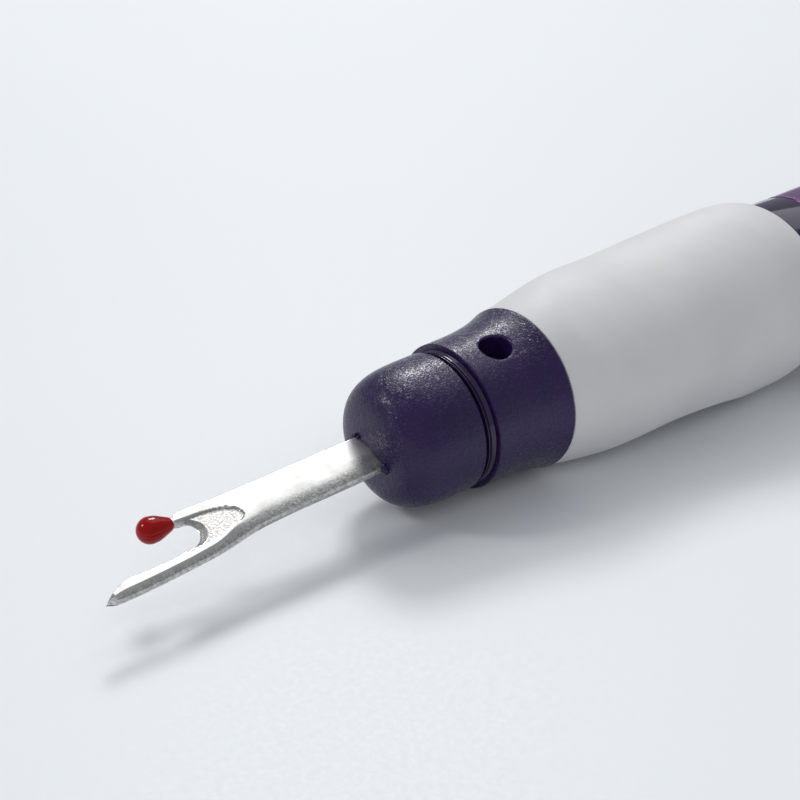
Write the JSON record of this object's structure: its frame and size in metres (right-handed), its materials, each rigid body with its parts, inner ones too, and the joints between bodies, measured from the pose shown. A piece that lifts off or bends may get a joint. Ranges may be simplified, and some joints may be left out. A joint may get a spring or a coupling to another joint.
{
  "type": "seam ripper",
  "caption": "Seam ripper with a forked steel blade, a red bead on the short arm, a grained domed nose, a soft contoured grip and a clear cap parked on the tail.",
  "frame": {"origin": "on the ground, under the middle of the tool's bounding box as it lies with the cap parked on its tail", "axes": "+X along the tool from the blade's point to the capped tail, -Z down onto the surface that the grip lies on, +Y across the tool so that the face of the blade leans towards -Y"},
  "size_m": [0.1634, 0.0196, 0.022],
  "materials": {
    "blade_steel": "polished spring steel with fine grinding marks",
    "red_bead": "glossy deep red",
    "grained_purple": "very dark purple, fine eroded grain",
    "glossy_purple": "very dark purple, smooth and glossy",
    "white_grip": "soft white thermoplastic elastomer, matt",
    "lilac_barrel": "glossy tinted lilac",
    "clear_cap": "clear polystyrene"
  },
  "bodies": {
    "handle": {"blade": "blade_steel", "tip_bead": "red_bead", "blade_holder": "grained_purple", "snap_ring": "glossy_purple", "neck_collar": "grained_purple", "tang_pin": "blade_steel", "handle_core": "glossy_purple", "grip_sleeve": "white_grip", "rear_barrel": "lilac_barrel", "tail_plug": "grained_purple"},
    "cap": {"cap": "clear_cap"}
  },
  "joints": [
    {"name": "cap_slide", "type": "slide", "parent": "handle", "child": "cap", "axis": [0.9984, 0, 0.0558], "range_m": [0, 0.02]}
  ]
}
